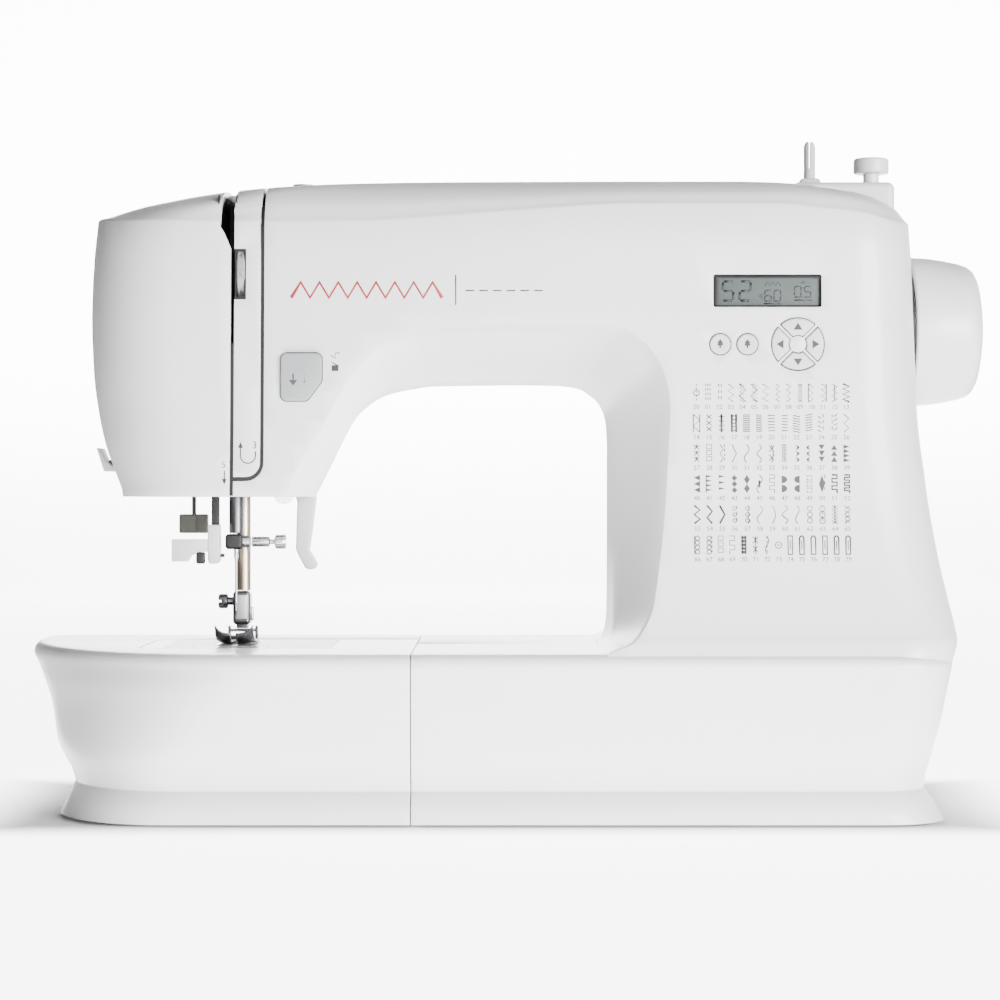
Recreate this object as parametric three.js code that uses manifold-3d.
// A computerised home sewing machine: white plastic covers on a cast frame, with its drive train,
// needle and presser mechanism, hook, controls and the slide-off extension table.
// Millimetres, X to the right as the user sits, Y away from the user, Z up.
// The origin is under the middle of the machine, on the surface that it stands on.
import * as THREE from "three";
import { mergeVertices } from "three/addons/utils/BufferGeometryUtils.js";
import Module from "manifold-3d";

const wasm = await Module();
wasm.setup();

// Driving dimensions
const WALL = 2.6;
const GAP = 0.3;
const BED_Z = 69.5;
const TOP_Z = 265.4;
const SEAM = [-34.85, -34.35];
const SEAM_WALL = -31.8;
const HEAD_BOTTOM = 133;
const SLOT_LEFT = [-109.2, -106.6];
const SLOT_RIGHT = [-97.2, -95];
const TONGUE_FOOT = 142;
const SLOT_FOOT = 139.6;
const THROAT_DEPTH = 66;
const THROAT_REACH = 90;
const NEEDLE = { x: -112.5, y: 0, top: 252, clamp: 117, tip: 82 };
const PRESSER = { x: -110.5, y: 13.5 };
const BAR_RADIUS = 3;
const SHAFT = { y: 0, z: 204, radius: 5 };
const CRANK = { radius: 17, throw: 14, span: [-99.5, -94.7] };
const BELT = 1.5;
const TIMING = { x: [127, 137], radius: 16 };
const DRIVE = { x: [145, 155], radius: 26 };
const LOWER_SHAFT = { y: 0, z: 38, radius: 4 };
const MOTOR = { y: 42, z: 62, radius: 18, pulley: 5.2 };
const HOOK = { x: -112.5, y: -18.5, pinion: 6.1, gear: 12.1 };
const HANDWHEEL = { inner: 176.8, outer: 208.4, radius: 32 };
const FREE_ARM = { left: -150, right: -34.9, half: 37, bottom: 20, wall: 2 };
const PLATE = { left: -140, right: -70, half: 34, thick: 1.9 };
const BOBBIN_WINDOW = { x: [-128, -97], y: [-32.2, -15] };
const FEED_ROWS = [[-121.5, -118], [-107, -103.5]];
const LIFTER = { x: -97, y: [26, 33], z: 147 };
const TAKE_UP = { x: [-108.6, -107.2], y: -22, z: 222 };
const DIAL = { x: [-105.7, -101.9], y: -48.5, z: 225.4, radius: 15 };
const SCREEN_AT = { x: [88.7, 132.5], z: [210.7, 223.6] };
const ROUND_BUTTONS = { tens: 91.2, units: 102.3, z: 195.2, radius: 4.2 };
const PAD = { x: 122.9, z: 195.2, inner: 3.8, outer: 10.6 };
const REVERSE = [[-88.2, 191.6, 2.5], [-88.2, 172, 2.5], [-77.4, 172, 2.5], [-71.4, 180, 2.5],
  [-71.4, 191.6, 2.5]];
const PANEL_FRONT = -61.9;
const PLATFORM = { x: [128, 172.3], y: [3, 42], z: 269.4 };
const WINDER = { x: 137.1, y: 20, top: 288.7, travel: 6 };
const SPOOL = { x: 90, y: 22, z: 256, pocket: { x: [-2, 97], y: [10, 34], floor: 250 } };
const INLET = { x: [173, 200], y: [20, 74], z: [20, 54] };
const FEET = { left: [-135, 45], right: [150, 55], radius: 9, height: 2.7 };

// Outlines of the bed and of the upper body: height, left, right, front, and the corner radii
// [across, deep] at the left front, right front and left back. The right back mirrors the front.
const BED = [
  [1.5, -183.4, 182.6, -85, [50, 60], [26, 26], [26, 26]],
  [6.5, -180.8, 180, -84.4, [50, 60], [26, 26], [26, 26]],
  [14.5, -179, 175.6, -78, [50, 62], [24, 24], [24, 24]],
  [28.8, -191, 178.6, -83, [66, 104], [26, 26], [20, 20]],
  [41.5, -195.6, 181.9, -83.6, [78, 124], [26, 26], [18, 18]],
  [48, -199, 183.1, -84, [86, 136], [26, 26], [16, 16]],
  [55.8, -203.4, 184.6, -84.4, [96, 146], [26, 26], [14, 14]],
  [60.6, -206.4, 185.5, -84.8, [105, 152], [26, 26], [12, 12]],
  [64.5, -208.6, 186.2, -85, [112, 155], [26, 26], [10, 10]],
  [67.2, -207.8, 185.2, -84.3, [112, 154], [26, 26], [10, 10]],
  [68.9, -205.6, 182.8, -82.2, [111, 151], [25, 25], [9, 9]],
  [BED_Z, -202, 179, -79, [110, 146], [24, 24], [8, 8]],
];
const UPPER = [
  [60, -157, 185.4, -82.4, [34, 34], [26, 26], [30, 30]],
  [66.4, -157, 186.9, -83.6, [34, 34], [26, 26], [30, 30]],
  [74.5, -157, 189.2, -80.6, [34, 34], [27, 27], [30, 30]],
  [77, -157, 189, -79.4, [34, 34], [27, 27], [30, 30]],
  [90, -157, 186.6, -75.4, [34, 34], [28, 28], [30, 30]],
  [106.5, -157, 183.3, -71.4, [34, 34], [28, 28], [30, 30]],
  [133, -156.7, 179.2, -67, [36, 36], [28, 28], [30, 30]],
  [143.5, -160.2, 178, -66, [37, 37], [28, 28], [30, 30]],
  [155, -164.5, 176.5, -65, [38, 38], [28, 28], [30, 30]],
  [169, -167.9, 175.3, -64, [40, 40], [28, 28], [32, 32]],
  [185, -170, 174.7, -63.2, [40, 40], [28, 28], [32, 32]],
  [209, -171, 174, -62, [40, 40], [28, 28], [32, 32]],
  [248, -167, 172.8, -60.2, [40, 40], [28, 28], [32, 32]],
  [252.5, -150, 167, -59.2, [40, 40], [30, 30], [34, 34]],
  [256.2, -136, 160, -56.6, [42, 40], [34, 32], [36, 36]],
  [260, -116, 150, -52, [44, 38], [38, 34], [38, 36]],
  [262.2, -98, 143, -47.4, [44, 36], [40, 34], [40, 34]],
  [263.5, -84, 138, -43, [44, 34], [40, 32], [40, 32]],
  [264.4, -60, 133, -38, [40, 30], [38, 28], [38, 28]],
  [TOP_Z, -10, 127, -30, [30, 22], [30, 22], [30, 22]],
];

// The throat: [x, z] of each point where the two covers meet, then at the front and rear faces.
const THROAT = [
  [-240, 60, -240, 60],
  [-240, HEAD_BOTTOM, -240, HEAD_BOTTOM],
  [-78.2, HEAD_BOTTOM, -86.7, HEAD_BOTTOM],
  [-71.3, 146.5, -80.5, 146.2],
  [-65.9, 157.6, -72.4, 160.2],
  [-59.4, 168.4, -62.2, 178.7],
  [-48.6, 176.2, -51, 193],
  [-33.4, 179.7, -39.7, 200],
  [-20.4, 180.6, -23.3, 203.8],
  [27.3, 180.6, 42.3, 204.5],
  [40.3, 176.2, 58.7, 199.1],
  [45.9, 168.4, 67.7, 188],
  [47.2, 157.6, 71.3, 174.6],
  [47.3, 145, 70.9, 160.3],
  [47.3, 115, 67.4, 123.3],
  [47.2, 92, 62.5, 94.4],
  [46.8, 80, 59.7, 83.7],
  [45.2, 73.5, 53.4, 74.1],
  [42.4, 69.6, 43, 68.3],
  [38, 60, 34, 60],
];

// Materials
const finish = (color, roughness, metalness = 0) =>
  new THREE.MeshStandardMaterial({ color, roughness, metalness });
const WHITE = finish(0xeeeef0, 0.35);
const GREY = finish(0xb9bdbf, 0.45);
const BLACK = finish(0x161616, 0.5);
const RUBBER = finish(0x2a2a2a, 0.9);
const STEEL = finish(0xb8b6b0, 0.25, 1);
const CAST = finish(0xa8abad, 0.55, 0.8);
const NYLON = finish(0xd8d2c0, 0.5);
const BOARD = finish(0x2c5a36, 0.6);
const SCREEN = finish(0x6f7d78, 0.2);
const CLEAR = finish(0xbfc8cc, 0.1);

// Solids

// A closed geometry as a manifold solid, its faces turned outwards.
function solid(geometry) {
  const bare = new THREE.BufferGeometry();
  bare.setAttribute("position", geometry.getAttribute("position"));
  bare.setIndex(geometry.index);
  const merged = mergeVertices(bare, 1e-4);
  const triVerts = new Uint32Array(merged.index.array);
  const vertProperties = merged.attributes.position.array;
  const made = new wasm.Manifold(new wasm.Mesh({ numProp: 3, vertProperties, triVerts }));
  if (made.volume() > 0) return made;
  return new wasm.Manifold(
    new wasm.Mesh({ numProp: 3, vertProperties, triVerts: triVerts.reverse() }),
  );
}

function geometryOf(made) {
  const mesh = made.getMesh();
  const geometry = new THREE.BufferGeometry();
  geometry.setAttribute("position", new THREE.BufferAttribute(mesh.vertProperties, 3));
  geometry.setIndex(new THREE.BufferAttribute(mesh.triVerts, 1));
  geometry.computeVertexNormals();
  return geometry;
}

const join = (first, ...rest) => rest.reduce((sum, piece) => sum.add(piece), first);
const cut = (first, ...rest) => rest.reduce((left, piece) => left.subtract(piece), first);

function box(x, y, z) {
  const block = new THREE.BoxGeometry(x[1] - x[0], y[1] - y[0], z[1] - z[0]);
  block.translate((x[0] + x[1]) / 2, (y[0] + y[1]) / 2, (z[0] + z[1]) / 2);
  return solid(block);
}

// Turns a geometry made along +Y so that it lies along the named axis.
function along(axis, geometry) {
  if (axis === "x") geometry.rotateZ(-Math.PI / 2);
  if (axis === "z") geometry.rotateX(Math.PI / 2);
  return geometry;
}

// A round bar from span[0] to span[1] along an axis, its centre line through at = [x, y, z].
function rod(axis, radius, span, at = [0, 0, 0], sides = 16) {
  const length = span[1] - span[0];
  const bar = along(axis, new THREE.CylinderGeometry(radius, radius, length, sides));
  const centre = new THREE.Vector3(...at);
  centre[axis] = (span[0] + span[1]) / 2;
  return solid(bar.translate(centre.x, centre.y, centre.z));
}

// A turned piece: profile holds [radius, position along the axis] and closes on the axis or on itself.
function turned(axis, profile, at = [0, 0, 0], sides = 18) {
  const points = profile.map(([radius, height]) => new THREE.Vector2(radius, height));
  const body = along(axis, new THREE.LatheGeometry(points, sides));
  return solid(body.translate(...at));
}

// A flat outline pushed along Y between two depths. The outline holds [x, z].
function plateY(outline, y) {
  const shape = new THREE.Shape(outline.map(([x, z]) => new THREE.Vector2(x, z)));
  const slab = new THREE.ExtrudeGeometry(shape, { depth: y[1] - y[0], bevelEnabled: false });
  slab.rotateX(Math.PI / 2);
  return solid(slab.translate(0, y[1], 0));
}

// A flat outline pushed along X. The outline holds [y, z].
function plateX(outline, x) {
  const shape = new THREE.Shape(outline.map(([y, z]) => new THREE.Vector2(y, z)));
  const slab = new THREE.ExtrudeGeometry(shape, { depth: x[1] - x[0], bevelEnabled: false });
  slab.applyMatrix4(new THREE.Matrix4().set(0, 0, 1, x[0], 1, 0, 0, 0, 0, 1, 0, 0, 0, 0, 0, 1));
  return solid(slab);
}

// A flat outline pushed up along Z. The outline holds [x, y].
function plateZ(outline, z) {
  const shape = new THREE.Shape(outline.map(([x, y]) => new THREE.Vector2(x, y)));
  const slab = new THREE.ExtrudeGeometry(shape, { depth: z[1] - z[0], bevelEnabled: false });
  return solid(slab.translate(0, 0, z[0]));
}

// Rounds the corners [x, y, radius] of an outline. Every corner gives the same number of points.
function rounded(corners, segments = 5) {
  const points = [];
  corners.forEach(([x, y, radius], i) => {
    const here = new THREE.Vector2(x, y);
    const before = corners.at(i - 1);
    const after = corners[(i + 1) % corners.length];
    const back = new THREE.Vector2(before[0], before[1]).sub(here).normalize();
    const on = new THREE.Vector2(after[0], after[1]).sub(here).normalize();
    const half = Math.acos(THREE.MathUtils.clamp(back.dot(on), -1, 1)) / 2;
    const reach = radius / Math.tan(half);
    const centre = here.clone().addScaledVector(back.clone().add(on).normalize(), radius / Math.sin(half));
    const from = here.clone().addScaledVector(back, reach).sub(centre);
    const turn = (Math.PI - 2 * half) * Math.sign(back.cross(on)) * -1;
    for (let k = 0; k <= segments; k += 1) {
      const spoke = from.clone().rotateAround(new THREE.Vector2(), (turn * k) / segments);
      points.push([centre.x + spoke.x, centre.y + spoke.y]);
    }
  });
  return points;
}

// Triangles that close an outline of Vector3, running the same way round as the outline.
function capTriangles(section) {
  const third = Math.floor(section.length / 3);
  const across = section[third].clone().sub(section[0]).normalize();
  const normal = across.clone().cross(section[2 * third].clone().sub(section[0])).normalize();
  const up = normal.cross(across);
  const flat = section.map((point) => new THREE.Vector2(point.dot(across), point.dot(up)));
  const triangles = THREE.ShapeUtils.triangulateShape(flat, []);
  const [a, b, c] = triangles[0].map((i) => flat[i]);
  const same = b.clone().sub(a).cross(c.clone().sub(a)) > 0 === THREE.ShapeUtils.area(flat) > 0;
  return same ? triangles : triangles.map(([p, q, r]) => [p, r, q]);
}

// A solid through a row of closed outlines, each a list of Vector3 with the same number of points.
function loft(sections) {
  const count = sections[0].length;
  const last = (sections.length - 1) * count;
  const index = [];
  for (let start = 0; start < last; start += count) {
    for (let k = 0; k < count; k += 1) {
      const a = start + k;
      const b = start + ((k + 1) % count);
      index.push(a, b, b + count, a, b + count, a + count);
    }
  }
  for (const [a, b, c] of capTriangles(sections[0])) index.push(a, c, b);
  for (const [a, b, c] of capTriangles(sections.at(-1))) index.push(last + a, last + b, last + c);
  const geometry = new THREE.BufferGeometry();
  const positions = sections.flat().flatMap((point) => [point.x, point.y, point.z]);
  geometry.setAttribute("position", new THREE.Float32BufferAttribute(positions, 3));
  geometry.setIndex(index);
  return solid(geometry);
}

// Moves every edge of a closed outline of [x, y] outwards by a distance.
function grown(outline, distance) {
  const points = outline.map(([x, y]) => new THREE.Vector2(x, y));
  const side = Math.sign(THREE.ShapeUtils.area(points)) * distance;
  const outward = (from, to) => new THREE.Vector2(to.y - from.y, from.x - to.x).normalize();
  return points.map((here, i) => {
    const before = outward(points.at(i - 1), here);
    const after = outward(here, points[(i + 1) % points.length]);
    const mean = before.clone().add(after).normalize();
    const moved = here.clone().addScaledVector(mean, side / mean.dot(after));
    return [moved.x, moved.y];
  });
}

// A rounded belt outline [y, z] around two pulleys, each { y, z, radius }, with the larger first.
function beltOutline(large, small, extra) {
  const apart = Math.hypot(small.y - large.y, small.z - large.z);
  const toSmall = Math.atan2(small.z - large.z, small.y - large.y);
  const lean = Math.acos((large.radius - small.radius) / apart);
  const arc = (pulley, from, to, steps) =>
    Array.from({ length: steps + 1 }, (_, k) => {
      const angle = from + ((to - from) * k) / steps;
      const radius = pulley.radius + extra;
      return [pulley.y + radius * Math.cos(angle), pulley.z + radius * Math.sin(angle)];
    });
  return [
    ...arc(large, toSmall + lean, toSmall + 2 * Math.PI - lean, 18),
    ...arc(small, toSmall - lean, toSmall + lean, 14),
  ];
}

// The body covers

// One outline of the body at a height, pulled in by an inset.
function bodyOutline([z, left, right, front, leftFront, rightFront, leftBack], inset, drop, turns = [7, 4]) {
  const spots = [
    [left + inset, front + inset, leftFront, 1, 1, Math.PI],
    [right - inset, front + inset, rightFront, -1, 1, 1.5 * Math.PI],
    [right - inset, -front - inset, rightFront, -1, -1, 0],
    [left + inset, -front - inset, leftBack, 1, -1, 0.5 * Math.PI],
  ];
  return spots.flatMap(([x, y, [wide, deep], toX, toY, start], corner) => {
    const steps = turns[Math.min(corner, 1)];
    return Array.from({ length: steps + 1 }, (_, k) => {
      const angle = start + (k / steps) * 0.5 * Math.PI;
      const across = (wide - inset) * (toX + Math.cos(angle));
      const along = (deep - inset) * (toY + Math.sin(angle));
      return new THREE.Vector3(x + across, y + along, z - drop);
    });
  });
}

const outerBody = (rows) => loft(rows.map((row) => bodyOutline(row, 0, 0)));

// The space inside a body: its walls are one wall thick, and so is its top above the given height.
function innerBody(rows, topFrom, floor) {
  const raised = rows.map((row) => {
    const drop = WALL * THREE.MathUtils.clamp((row[0] - topFrom) / 5, 0, 1);
    return bodyOutline(row, WALL, drop);
  });
  return loft([bodyOutline([floor, ...rows[0].slice(1)], WALL, 0), ...raised]);
}

// The throat and the room under the head, as a solid to be taken out, grown by a margin.
function throat(margin) {
  const meeting = THROAT.map(([x, z]) => [x, z]);
  const face = THROAT.map(([x, z, faceX, faceZ]) => {
    const flare = THROAT_REACH / THROAT_DEPTH;
    return [x + (faceX - x) * flare, z + (faceZ - z) * flare];
  });
  const section = (outline, y) => grown(outline, margin).map(([x, z]) => new THREE.Vector3(x, y, z));
  return loft([section(face, -THROAT_REACH), section(meeting, 0), section(face, THROAT_REACH)]);
}

const roundedBox = (x, y, z, radius) =>
  plateZ(rounded([[x[0], y[0], radius], [x[1], y[0], radius], [x[1], y[1], radius],
    [x[0], y[1], radius]], 3), z);

const widened = (span, by) => [span[0] - by, span[1] + by];

// The whole body as one shell, still without the openings in its face.
function bodyShell() {
  const { pocket } = SPOOL;
  const outside = cut(
    join(outerBody(UPPER).subtract(throat(0)), outerBody(BED),
      roundedBox(PLATFORM.x, PLATFORM.y, [235, PLATFORM.z], 3)),
    roundedBox(pocket.x, pocket.y, [pocket.floor, 275], 4),
    box(INLET.x, INLET.y, INLET.z),
  );
  const bedRoom = innerBody(BED, 66, -1);
  const arm = FREE_ARM.half - FREE_ARM.wall;
  const inside = cut(
    join(
      innerBody(UPPER, 250, 59).subtract(throat(WALL)),
      bedRoom.intersect(box([SEAM_WALL, 220], [-90, 90], [-2, 80])),
      bedRoom.intersect(box([-230, SEAM[0]], [-90, 90], [-2, 80])),
      box([SEAM[0] - 1, SEAM_WALL + 1], [-arm, arm], [-2, BED_Z - WALL]),
      box([SEAM[0] - 1, SEAM_WALL + 1], [-58.5, 58.5], [-2, 6.5]),
      roundedBox(widened(PLATFORM.x, -WALL), widened(PLATFORM.y, -WALL), [235, PLATFORM.z - WALL], 1),
    ),
    roundedBox(widened(pocket.x, WALL), widened(pocket.y, WALL), [pocket.floor - WALL, 275], 5),
    box(widened(INLET.x, WALL), widened(INLET.y, WALL), widened(INLET.z, WALL)),
  );
  return outside.subtract(inside);
}

// One of the four arrow keys, grown by a margin: a quarter of a ring. turn counts quarters from the right.
function padOutline(turn, margin) {
  const half = Math.PI / 4;
  const arc = (radius, from, to, steps) =>
    Array.from({ length: steps + 1 }, (_, k) => {
      const angle = from + ((to - from) * k) / steps + (turn * Math.PI) / 2;
      return [PAD.x + radius * Math.cos(angle), PAD.z + radius * Math.sin(angle)];
    });
  const trim = (radius) => half - Math.asin(0.85 / radius);
  const outer = arc(PAD.outer, -trim(PAD.outer), trim(PAD.outer), 6);
  const inner = arc(PAD.inner, trim(PAD.inner), -trim(PAD.inner), 2);
  return grown([...outer, ...inner], margin);
}

const roundButtonHole = (x) =>
  rod("y", ROUND_BUTTONS.radius + GAP, [-75, -45], [x, 0, ROUND_BUTTONS.z]);

// Everything that is cut through the front of the body.
function frontOpenings() {
  const behind = [-75, -50];
  return join(
    box(widened(SCREEN_AT.x, GAP), behind, widened(SCREEN_AT.z, GAP)),
    roundButtonHole(ROUND_BUTTONS.tens),
    roundButtonHole(ROUND_BUTTONS.units),
    ...[0, 1, 2, 3].map((turn) => plateY(padOutline(turn, GAP), behind)),
    plateY(grown(rounded(REVERSE, 3), GAP), behind),
    rod("z", 4.3, [131, 140], [-90, -25, 0]),
    box([-137, -84.5], [-9, 0], [130, 138]),
  );
}

function threadSlots() {
  const room = [-95, 1];
  return join(
    box(SLOT_LEFT, room, [125, 275]),
    box(SLOT_RIGHT, room, [SLOT_FOOT, 275]),
    box([SLOT_LEFT[0], SLOT_RIGHT[1]], room, [SLOT_FOOT, TONGUE_FOOT]),
  );
}

const handwheelHole = () => rod("x", 9, [160, 182], [0, SHAFT.y, SHAFT.z]);

function frontHalf(shell) {
  const front = shell.intersect(box([-230, 230], [-95, -GAP / 2], [-5, 280]));
  return cut(front, frontOpenings(), handwheelHole(), threadSlots());
}

function frontCover(half) {
  return cut(
    half,
    box([-230, SEAM[1]], [-95, 5], [-5, 100]),
    box([-230, SLOT_LEFT[1]], [-95, 5], [100, 280]),
    box([SLOT_LEFT[0], SLOT_RIGHT[1]], [-95, 5], [TONGUE_FOOT - 1, 280]),
  );
}

const faceCover = (half) => half.intersect(box([-230, SLOT_LEFT[0]], [-95, 5], [100, 280]));

function threadChannelCover(half) {
  const tongue = half.intersect(box([SLOT_LEFT[1], SLOT_RIGHT[0]], [-95, 5], [TONGUE_FOOT, 280]));
  return tongue.subtract(box(widened(DIAL.x, GAP), [-75, -40], [213.4, 237.4]));
}

function rearCover(shell) {
  const [floor] = INLET.x;
  return cut(
    shell.intersect(box([-230, 230], [GAP / 2, 95], [-5, 280])),
    box([-230, SEAM[1]], [-5, 95], [-5, 100]),
    handwheelHole(),
    box([-137, -84.5], [0, 25.5], [130, 138]),
    box([-140, -124], [0, 33], [130, 138]),
    box([-100, -62], [25.3, 33.7], [120, 160]),
    box([WINDER.x - 3.1, WINDER.x + 3.1 + WINDER.travel], [WINDER.y - 3.1, WINDER.y + 3.1], [260, 272]),
    box([floor - 5, floor + 1], [49.7, 72.3], [25.7, 48.3]),
    box([floor - 5, floor + 1], [23.2, 44.8], [27.2, 46.8]),
  );
}

// The table is a plain shell with walls that face the free arm left open.
function extensionTable() {
  const half = FREE_ARM.half + 0.6;
  const rows = [0, 2, 4, 8, 11].map((i) => BED[i]);
  const turns = [4, 2];
  const outside = loft(rows.map((row) => bodyOutline(row, 0, 0, turns)));
  const under = rows.map((row) => bodyOutline(row, WALL, row[0] > 60 ? WALL : 0, turns));
  under[0].forEach((point) => point.setZ(-1));
  return cut(
    outside.intersect(box([-230, SEAM[0]], [-95, 95], [-5, 100])),
    loft(under),
    box([FREE_ARM.left - 1, 0], [-half, half], [-5, 100]),
  );
}

// The base and the frame

function basePan() {
  return join(
    roundedBox([-32, 172], [-73, 73], [3, 6], 26),
    roundedBox([-150, 0], [-58, 58], [3, 6], 12),
  );
}

const rubberFoot = (x, y) =>
  turned("z", [[0, 0], [FEET.radius - 1, 0], [FEET.radius, 1], [FEET.radius, FEET.height], [0, FEET.height]],
    [x, y, 0]);

// The cast frame: a column, the upper arm with its bearings, the head bracket and the lower beam.
function machineFrame() {
  const stud = [LIFTER.y[0] - 8, LIFTER.y[1] + 0.5];
  const body = join(
    box([84, 112], [-16, 16], [6.3, 236]),
    box([-92, 168], [-14, 14], [234, 241]),
    box([-92, 84], [-12, 12], [214, 236]),
    box([159, 168], [-12, 12], [192, 236]),
    box([-92, -85], [-16, 20], [140, 240]),
    box([-118, -90], [-6, 20], [224, 229.6]),
    box([-118, -90], [-6, 20], [140, 150]),
    rod("y", 2.5, stud, [LIFTER.x, 0, LIFTER.z]),
    box([-93, -85], [-26, -14], [216, 228]),
    rod("x", 2.2, [-109.6, -90], [0, TAKE_UP.y, TAKE_UP.z]),
    box([-135, 90], [-24, 24], [12, 24]),
    box([-98, -88], [-8, 8], [20, 46]),
  );
  return cut(
    body,
    rod("x", SHAFT.radius + GAP, [-96, 172], [0, SHAFT.y, SHAFT.z]),
    rod("x", LOWER_SHAFT.radius + GAP, [-101, 115], [0, LOWER_SHAFT.y, LOWER_SHAFT.z]),
    rod("z", BAR_RADIUS + GAP, [130, 235], [NEEDLE.x, NEEDLE.y, 0]),
    rod("z", BAR_RADIUS + GAP, [130, 235], [PRESSER.x, PRESSER.y, 0]),
  );
}

function freeArmCover() {
  const { left, right, half, bottom, wall } = FREE_ARM;
  const corners = (inset) => [
    [left + inset, -half + inset, 12 - inset], [right, -half + inset, 0.5],
    [right, half - inset, 0.5], [left + inset, half - inset, 12 - inset],
  ];
  return cut(
    plateZ(rounded(corners(0), 6), [bottom, BED_Z]),
    plateZ(grown(rounded(corners(wall), 6), 0), [bottom - 1, BED_Z - wall]),
    box([right - 1, right + 5], [-half + wall, half - wall], [bottom - 1, BED_Z - wall]),
    box([PLATE.left - GAP, PLATE.right + GAP], [-PLATE.half - GAP, PLATE.half + GAP], [60, 80]),
    box([-79.2, -57.5], [30, 40], [36.4, 40.6]),
  );
}

function needlePlate() {
  const { x, y } = BOBBIN_WINDOW;
  const rows = FEED_ROWS.map((row) => box(widened(row, 0.4), [-4.4, 14.4], [60, 80]));
  return cut(
    roundedBox([PLATE.left, PLATE.right], [-PLATE.half, PLATE.half], [BED_Z - PLATE.thick, BED_Z], 3),
    roundedBox(widened(x, GAP), widened(y, GAP), [60, 80], 2),
    roundedBox([-116.2, -108.8], [-1.4, 1.4], [60, 80], 1.2),
    ...rows,
  );
}

const bobbinCover = () => roundedBox(BOBBIN_WINDOW.x, BOBBIN_WINDOW.y, [BED_Z - 1.7, BED_Z], 1.8);

// The drive train

function mainShaft() {
  return join(
    rod("x", SHAFT.radius, [-94.4, 186], [0, SHAFT.y, SHAFT.z], 24),
    rod("x", TIMING.radius, TIMING.x, [0, SHAFT.y, SHAFT.z], 32),
  );
}

function crankDisc() {
  return join(
    rod("x", CRANK.radius, CRANK.span, [0, SHAFT.y, SHAFT.z], 32),
    rod("x", 3, [CRANK.span[0] - 1.6, CRANK.span[0] + 1], [0, SHAFT.y, SHAFT.z + CRANK.throw], 16),
  );
}

const wheelWithBore = (x, radius, bore, at, sides) =>
  turned("x", [[bore, x[0]], [radius, x[0]], [radius, x[1]], [bore, x[1]], [bore, x[0]]], at, sides);

const shaftPulley = () => wheelWithBore(DRIVE.x, DRIVE.radius, SHAFT.radius + GAP, [0, SHAFT.y, SHAFT.z], 28);

function handwheel() {
  const { inner, outer, radius } = HANDWHEEL;
  const hub = SHAFT.radius + GAP;
  const profile = [
    [hub, inner], [9, inner], [9, outer - 8], [24.4, outer - 8], [28.6, inner + 2], [28.6, inner],
    [radius - 0.5, inner], [radius, inner + 1.5], [radius - 2, inner + 14], [radius - 3.4, outer - 9.6],
    [radius - 4.8, outer - 6.2], [radius - 7.6, outer - 3.6], [radius - 11.5, outer - 2.6],
    [10, outer - 0.7], [0, outer], [0, 186.3], [hub, 186.3], [hub, inner],
  ];
  return turned("x", profile, [0, SHAFT.y, SHAFT.z], 30);
}

function lowerShaft() {
  const at = [0, LOWER_SHAFT.y, LOWER_SHAFT.z];
  return join(
    rod("x", LOWER_SHAFT.radius, [-128, 142], at),
    rod("x", TIMING.radius, TIMING.x, at, 32),
  );
}

// A toothed ring around an axis: teeth are proud of the root, up to the given radius.
function gear(axis, span, radius, bore, teeth, at) {
  const outline = Array.from({ length: teeth * 4 }, (_, k) => {
    const angle = ((k + 0.5) * Math.PI) / (teeth * 2);
    const reach = k % 4 < 2 ? radius : radius - 1.1;
    return [reach * Math.cos(angle), reach * Math.sin(angle)];
  });
  const shape = new THREE.Shape(outline.map(([x, y]) => new THREE.Vector2(x, y)));
  const geometry = new THREE.ExtrudeGeometry(shape, { depth: span[1] - span[0], bevelEnabled: false });
  if (axis === "x") geometry.rotateY(Math.PI / 2).translate(span[0], 0, 0);
  else geometry.translate(0, 0, span[0]);
  const wheel = solid(geometry.translate(...at));
  return bore ? wheel.subtract(rod(axis, bore, widened(span, 1), at, 16)) : wheel;
}

const hookDriveGear = () =>
  gear("x", [-118, -107], HOOK.gear, LOWER_SHAFT.radius + GAP, 22, [0, LOWER_SHAFT.y, LOWER_SHAFT.z]);

function rotaryHook() {
  const at = [HOOK.x, HOOK.y, 0];
  const cup = [
    [0, 42], [5, 42], [5, 50.8], [15.5, 50.8], [15.5, 65], [14.6, 65], [14.6, 52], [0, 52],
  ];
  return join(
    rod("z", 3, [24.3, 36], at, 16),
    gear("z", [32.5, 43.5], HOOK.pinion, 0, 11, at),
    turned("z", cup, at, 28),
  );
}

const bobbinCase = () =>
  turned("z", [[0, 52.4], [14.2, 52.4], [14.2, 65.4], [11.2, 65.4], [11.2, 53.8], [0, 53.8]],
    [HOOK.x, HOOK.y, 0], 28);

function bobbin() {
  const profile = [
    [3, 54.2], [10.3, 54.2], [10.3, 55], [4.5, 55.6], [4.5, 63.9], [10.3, 64.5], [10.3, 65.3],
    [3, 65.3], [3, 54.2],
  ];
  return turned("z", profile, [HOOK.x, HOOK.y, 0]);
}

function driveMotor() {
  const at = [0, MOTOR.y, MOTOR.z];
  return join(
    rod("x", MOTOR.radius, [86, 136], at, 28),
    rod("x", 8, [134, 139], at),
    rod("x", 2.6, [134, 144.5], at, 14),
    box([90, 132], [MOTOR.y - 14, MOTOR.y + 14], [6.3, MOTOR.z]),
  );
}

const motorPulley = () => rod("x", MOTOR.pulley, [144.8, 155.2], [0, MOTOR.y, MOTOR.z], 20);

function belt(large, small, x) {
  const inner = plateX(beltOutline(large, small, GAP), widened(x, 1));
  return plateX(beltOutline(large, small, GAP + BELT), x).subtract(inner);
}

const timingBelt = () =>
  belt({ ...SHAFT, radius: TIMING.radius }, { ...LOWER_SHAFT, radius: TIMING.radius }, [127.5, 136.5]);

const motorBelt = () =>
  belt({ ...SHAFT, radius: DRIVE.radius }, { ...MOTOR, radius: MOTOR.pulley }, [146, 154]);

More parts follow.
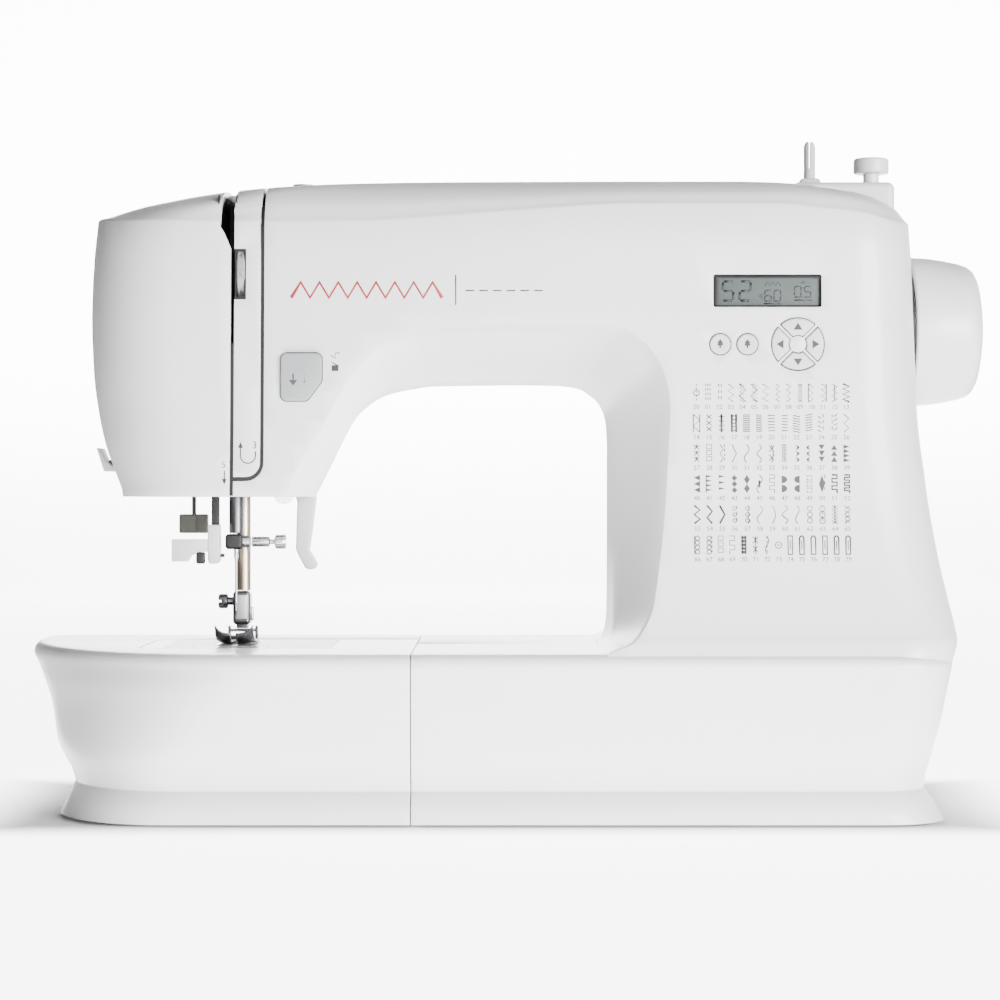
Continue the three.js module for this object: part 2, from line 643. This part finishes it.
// The needle and the presser foot

const needleBar = () => rod("z", BAR_RADIUS, [NEEDLE.clamp + GAP, NEEDLE.top], [NEEDLE.x, NEEDLE.y, 0]);

// The block round the needle bar, with the arm that reaches up to the crank pin.
function needleBarLink() {
  const pinZ = SHAFT.z + CRANK.throw;
  const block = join(
    box([-117, -101.5], [-5.5, 5.5], [186, 198]),
    box([-104.4, -101.5], [-4.5, 4.5], [190, pinZ]),
    rod("x", 5.5, [-104.4, -101.5], [0, SHAFT.y, pinZ]),
  );
  return cut(
    block,
    rod("z", BAR_RADIUS + 0.2, [180, 205], [NEEDLE.x, NEEDLE.y, 0]),
    rod("x", 3.2, [-110, -95], [0, SHAFT.y, pinZ], 16),
  );
}

const needleClamp = () =>
  roundedBox([NEEDLE.x - 4.4, NEEDLE.x + 6.6], [NEEDLE.y - 4.6, NEEDLE.y + 4.6],
    [NEEDLE.clamp - 6.6, NEEDLE.clamp], 2.6);

const needleClampScrew = () =>
  turned("x", [[0, -105.6], [2, -105.6], [2, -98], [3.1, -97.4], [3.1, -91.6], [2.5, -91], [0, -91]],
    [0, NEEDLE.y, 113.6], 16);

function needle() {
  const { clamp, tip } = NEEDLE;
  const profile = [[0, tip], [0.55, tip + 4], [0.55, clamp - 12], [1, clamp - 10.5], [1, clamp - 6.9],
    [0, clamp - 6.9]];
  return turned("z", profile, [NEEDLE.x, NEEDLE.y, 0], 12);
}

function takeUpLever() {
  const { x, y, z } = TAKE_UP;
  const arm = rounded([
    [y + 5, z - 5, 3], [y + 6, z + 4, 3], [y - 12, z + 21, 8], [y - 19, z + 33.6, 1.6],
    [y - 26, z + 31.6, 1.6], [y - 23, z + 25, 2], [y - 18, z + 18, 4], [y - 6, z - 4, 3],
  ], 3);
  return join(plateX(arm, x), rod("x", 5.2, [x[0], x[1] + 3], [0, y, z])).subtract(
    rod("x", 2.5, widened(x, 5), [0, y, z], 16),
  );
}

function presserBar() {
  const at = [PRESSER.x, PRESSER.y, 0];
  return join(rod("z", BAR_RADIUS, [92.3, 240], at), rod("z", 6, [154, 162], at));
}

function footHolder() {
  const { x, y } = PRESSER;
  return join(
    box([x - 4.4, x + 4.4], [y - 5, y + 5], [80.5, 92]),
    box([x - 4.4, x + 4.4], [y - 3.4, y + 6.5], [77.4, 84]),
  );
}

const footHolderScrew = () =>
  turned("x", [[0, -121.4], [2.6, -121.4], [3.2, -120.8], [3.2, -117.6], [1.8, -117.2], [1.8, -115.2],
    [0, -115.2]],
    [0, PRESSER.y, 87.5], 16);

// The foot: a sole with turned-up toes, a needle slot, and two lugs that hold its cross pin.
function presserFoot() {
  const { y } = PRESSER;
  const [left, right] = [-120.4, -104];
  const side = [
    [y + 4, 70.6], [y + 2.6, 69.8], [-8, 69.8], [-11.4, 70.6], [-14.4, 73.4], [-13.6, 74.4],
    [-10.6, 72.4], [-7.6, 71.6], [y - 6, 71.9], [y - 3.6, 76.2], [y + 2, 76.8], [y + 4, 73],
  ];
  const sole = plateX(side, [left, right]);
  return cut(
    sole,
    box([NEEDLE.x - 3.8, NEEDLE.x + 3.8], [-3, 3], [68, 78]),
    box([NEEDLE.x - 1.2, NEEDLE.x + 1.2], [-16, -2], [68, 78]),
    box([PRESSER.x - 4.8, PRESSER.x + 4.8], [y - 8, y + 7], [73.6, 80]),
    box([left - 1, PRESSER.x - 6.6], [y - 8, y + 7], [72.2, 80]),
    box([PRESSER.x + 6, right + 1], [y - 8, y + 7], [72.2, 80]),
  );
}

function footLifter() {
  const { x, y, z } = LIFTER;
  const lever = rounded([
    [x - 7, z + 2, 2], [x - 3, z + 8, 2], [x + 5, z + 8, 2], [x + 13, z - 5, 5], [x + 17.6, z - 15, 2],
    [x + 15.8, z - 34, 3], [x + 18, z - 44.6, 1.4], [x + 15.4, z - 47.4, 1.4], [x + 9.8, z - 36, 4],
    [x + 9, z - 15, 3], [x + 2, z - 7, 3], [x - 4, z - 6, 2],
  ], 3);
  return plateY(lever, y).subtract(rod("y", 2.8, widened(y, 2), [x, 0, z], 16));
}

function needleThreader() {
  return join(
    box([-121, -118], [-1.5, 1.5], [118, 172]),
    roundedBox([-123.2, -117.4], [-5, 3], [104, 121], 1.5),
    roundedBox([-139.8, -120], [-4, 2], [105.7, 114.3], 2.5),
    rod("y", 1.8, [-7, -2], [-119.5, 0, 109], 14),
  );
}

function buttonholeLever() {
  return join(
    roundedBox([-140, -127.3], [22.5, 27.5], [117, 125.5], 2),
    box([-134.9, -131.9], [23.6, 26.4], [124, 168]),
  );
}

// Controls and fittings

function tensionDial() {
  const at = [0, DIAL.y, DIAL.z];
  return gear("x", DIAL.x, DIAL.radius, 2.5, 20, at);
}

const button = (outline) => plateY(outline, [PANEL_FRONT - 0.9, PANEL_FRONT + 6.5]);
const roundButton = (x) =>
  rod("y", ROUND_BUTTONS.radius, [PANEL_FRONT - 0.9, PANEL_FRONT + 6.5], [x, 0, ROUND_BUTTONS.z], 24);
const reverseButton = () => plateY(rounded(REVERSE, 3), [-64.6, -55]);
const lcdDisplay = () => box(SCREEN_AT.x, [-61, -55.5], SCREEN_AT.z);
const controlBoard = () => box([78, 146], [-50.6, -49], [96, 228]);

function winderSpindle() {
  const base = PLATFORM.z + GAP;
  const profile = [
    [0, 243], [9, 243], [9, 246], [2.5, 246.6], [2.5, base], [4.5, base + 0.2],
    [4.5, base + 2.7], [2.5, base + 3], [2.5, WINDER.top - 1], [1.6, WINDER.top], [0, WINDER.top],
  ];
  return turned("z", profile, [WINDER.x, WINDER.y, 0]);
}

function winderStop() {
  const base = PLATFORM.z + GAP;
  const knob = base + 4.8;
  const profile = [
    [0, base], [3.5, base], [3.5, knob], [7.2, knob + 0.2], [7.7, knob + 0.8],
    [7.7, knob + 5.9], [6.9, knob + 6.8], [0, knob + 6.8],
  ];
  return turned("z", profile, [WINDER.x + 27, WINDER.y, 0]);
}

function spoolPin() {
  const { x, y, z } = SPOOL;
  return join(rod("x", 3, [8, x], [0, y, z]), rod("y", 5, [y - 7, y + 7], [x, 0, z]));
}

function bobbinThreadGuide() {
  return join(
    roundedBox([-90, -78], [2, 12], [264.3, 265.5], 2),
    turned("z", [[0, 265], [2.2, 265], [2.2, 266.8], [3.6, 267.4], [3.6, 268.2], [3, 268.8], [0, 268.8]],
      [-84, 7, 0], 20),
  );
}

const threadCutter = () => box([-167.4, -164.4], [-14, 2], [142, 152]);
const workLamp = () =>
  turned("z", [[0, 129.6], [2.6, 130.4], [4, 132.6], [4, 137.4], [0, 137.4]], [-90, -25, 0], 20);
const powerSocket = () =>
  cut(
    box([INLET.x[0] - 8, INLET.x[0] + 2.5], [50, 72], [26, 48]),
    box([INLET.x[0] - 5, INLET.x[0] + 4], [53, 69], [30, 44]),
  );

function powerSwitch() {
  const [floor] = INLET.x;
  const rocker = [
    [floor - 2.6, 28], [floor + 2, 27.8], [floor + 3.4, 37], [floor + 2, 46.2], [floor - 2.6, 46],
  ];
  return plateY(rocker, [24, 44]);
}

function feedDog() {
  const rows = FEED_ROWS.map((row) => box(row, [-4, 14], [65.6, 69.4]));
  return join(box([FEED_ROWS[0][0], FEED_ROWS[1][1]], [6, 14], [62.6, 66.6]), ...rows);
}

function dropFeedLever() {
  return join(
    roundedBox([-80, -72], [37.5, 43], [35, 42], 1),
    box([-77.5, -74.5], [28, 38], [37, 40]),
  );
}

// The assembly

const assembly = new THREE.Group();
assembly.name = "sewing_machine";

function place(name, made, material) {
  const mesh = new THREE.Mesh(geometryOf(made), material);
  mesh.name = name;
  assembly.add(mesh);
}

const shell = bodyShell();
const half = frontHalf(shell);
place("front_cover", frontCover(half), WHITE);
place("rear_cover", rearCover(shell), WHITE);
place("face_cover", faceCover(half), WHITE);
place("thread_channel_cover", threadChannelCover(half), WHITE);
place("extension_table", extensionTable(), WHITE);
place("base_pan", basePan(), GREY);
place("rubber_foot_front_left", rubberFoot(FEET.left[0], -FEET.left[1]), RUBBER);
place("rubber_foot_front_right", rubberFoot(FEET.right[0], -FEET.right[1]), RUBBER);
place("rubber_foot_rear_left", rubberFoot(...FEET.left), RUBBER);
place("rubber_foot_rear_right", rubberFoot(...FEET.right), RUBBER);
place("machine_frame", machineFrame(), CAST);
place("free_arm_cover", freeArmCover(), WHITE);
place("needle_plate", needlePlate(), STEEL);
place("bobbin_cover", bobbinCover(), CLEAR);
place("feed_dog", feedDog(), STEEL);
place("drop_feed_lever", dropFeedLever(), BLACK);
place("main_shaft", mainShaft(), STEEL);
place("crank_disc", crankDisc(), STEEL);
place("shaft_pulley", shaftPulley(), BLACK);
place("handwheel", handwheel(), WHITE);
place("lower_shaft", lowerShaft(), STEEL);
place("hook_drive_gear", hookDriveGear(), NYLON);
place("rotary_hook", rotaryHook(), STEEL);
place("bobbin_case", bobbinCase(), BLACK);
place("bobbin", bobbin(), CLEAR);
place("drive_motor", driveMotor(), CAST);
place("motor_pulley", motorPulley(), BLACK);
place("timing_belt", timingBelt(), RUBBER);
place("motor_belt", motorBelt(), RUBBER);
place("needle_bar", needleBar(), STEEL);
place("needle_bar_link", needleBarLink(), STEEL);
place("needle_clamp", needleClamp(), STEEL);
place("needle_clamp_screw", needleClampScrew(), STEEL);
place("needle", needle(), STEEL);
place("take_up_lever", takeUpLever(), STEEL);
place("presser_bar", presserBar(), STEEL);
place("foot_holder", footHolder(), STEEL);
place("foot_holder_screw", footHolderScrew(), STEEL);
place("presser_foot", presserFoot(), STEEL);
place("foot_lifter", footLifter(), GREY);
place("needle_threader", needleThreader(), GREY);
place("buttonhole_lever", buttonholeLever(), BLACK);
place("tension_dial", tensionDial(), GREY);
place("lcd_display", lcdDisplay(), SCREEN);
place("control_board", controlBoard(), BOARD);
place("reverse_button", reverseButton(), GREY);
place("stitch_button_tens", roundButton(ROUND_BUTTONS.tens), GREY);
place("stitch_button_units", roundButton(ROUND_BUTTONS.units), GREY);
["right", "up", "left", "down"].forEach((side, turn) =>
  place(`arrow_button_${side}`, button(padOutline(turn, 0)), GREY),
);
place("winder_spindle", winderSpindle(), STEEL);
place("winder_stop", winderStop(), WHITE);
place("spool_pin", spoolPin(), WHITE);
place("bobbin_thread_guide", bobbinThreadGuide(), BLACK);
place("thread_cutter", threadCutter(), GREY);
place("work_lamp", workLamp(), CLEAR);
place("power_socket", powerSocket(), BLACK);
place("power_switch", powerSwitch(), BLACK);

export default assembly;
